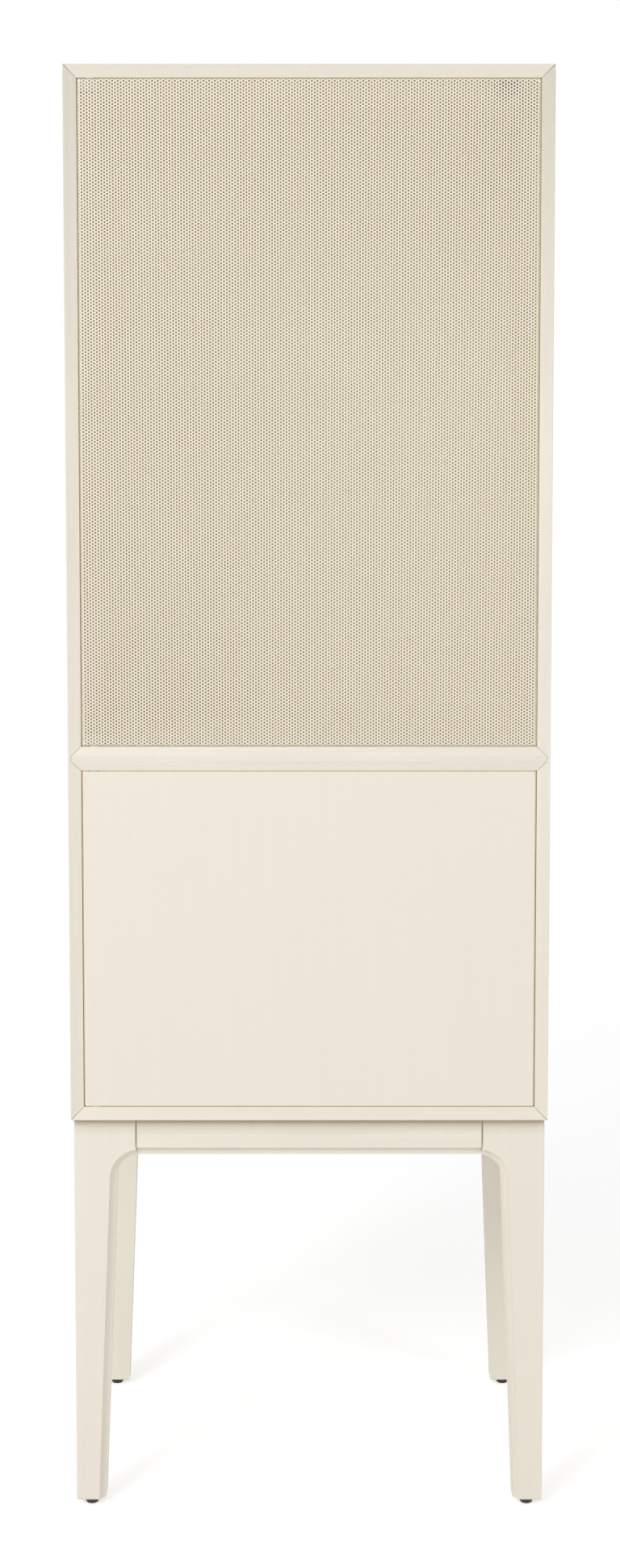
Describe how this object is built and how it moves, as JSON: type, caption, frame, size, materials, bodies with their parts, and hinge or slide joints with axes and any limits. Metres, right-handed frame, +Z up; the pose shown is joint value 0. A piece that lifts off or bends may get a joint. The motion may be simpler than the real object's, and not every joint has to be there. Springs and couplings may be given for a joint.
{
  "type": "storage cabinet",
  "caption": "Tall narrow storage cabinet on a coved leg frame, with a perforated sheet metal door above a middle rail and a solid wooden door below it.",
  "frame": {"origin": "on the floor, below the middle of the cabinet", "axes": "+X to the right as seen from the front, +Y from the front to the rear, +Z up; the doors face -Y"},
  "size_m": [0.6, 0.4, 1.815],
  "materials": {
    "carcass": "stained and lacquered, satin",
    "door_panel": "stained and lacquered, satin",
    "legs": "stained and lacquered, satin",
    "shelf": "stained and lacquered, satin",
    "back": "painted board, satin",
    "raw_wood": "unfinished beech",
    "mesh_sheet": "powder coated, satin",
    "steel": "zinc plated",
    "latch_plastic": "moulded, matt",
    "bush_plastic": "moulded, matt",
    "glide_plastic": "moulded, matt black"
  },
  "bodies": {
    "cabinet": {"left_side_panel": "carcass", "right_side_panel": "carcass", "top_panel": "carcass", "bottom_panel": "carcass", "corner_splines": "raw_wood", "middle_rail": "carcass", "divider_board": "carcass", "divider_dowels": "raw_wood", "rail_dowels": "raw_wood", "back_panel": "back", "back_panel_screws": "steel", "lower_shelf": "shelf", "shelf_pins": "steel", "pivot_bushes": "bush_plastic", "threaded_inserts": "steel", "upper_latch_housing": "latch_plastic", "lower_latch_housing": "latch_plastic", "latch_screws": "steel", "front_apron": "legs", "rear_apron": "legs", "left_apron": "legs", "right_apron": "legs", "leg_frame_dowels": "raw_wood", "corner_block_screws": "steel", "frame_bolts": "steel", "front_left_leg": "legs", "front_left_corner_block": "raw_wood", "front_left_glide": "glide_plastic", "front_right_leg": "legs", "front_right_corner_block": "raw_wood", "front_right_glide": "glide_plastic", "rear_left_leg": "legs", "rear_left_corner_block": "raw_wood", "rear_left_glide": "glide_plastic", "rear_right_leg": "legs", "rear_right_corner_block": "raw_wood", "rear_right_glide": "glide_plastic"},
    "mesh_door": {"mesh_door_sheet": "mesh_sheet", "mesh_door_pivot_blocks": "latch_plastic", "mesh_door_pivot_pins": "steel", "mesh_door_strike": "steel"},
    "lower_door": {"lower_door_panel": "door_panel", "lower_door_pivot_pins": "steel", "lower_door_strike": "steel", "lower_door_strike_screws": "steel"},
    "upper_plunger": {"upper_latch_plunger": "latch_plastic"},
    "lower_plunger": {"lower_latch_plunger": "latch_plastic"}
  },
  "joints": [
    {"name": "mesh_door_hinge", "type": "hinge", "parent": "cabinet", "child": "mesh_door", "pos_m": [-0.2678, -0.189, 1.389], "axis": [0, 0, -1], "range_deg": [0, 110]},
    {"name": "lower_door_hinge", "type": "hinge", "parent": "cabinet", "child": "lower_door", "pos_m": [-0.2678, -0.189, 0.7355], "axis": [0, 0, -1], "range_deg": [0, 110]},
    {"name": "upper_plunger_slide", "type": "slide", "parent": "cabinet", "child": "upper_plunger", "axis": [0, 1, 0], "range_m": [0, 0.003], "stiffness_N_per_m": 400, "springref_m": -0.002},
    {"name": "lower_plunger_slide", "type": "slide", "parent": "cabinet", "child": "lower_plunger", "axis": [0, 1, 0], "range_m": [0, 0.003], "stiffness_N_per_m": 400, "springref_m": -0.002}
  ]
}
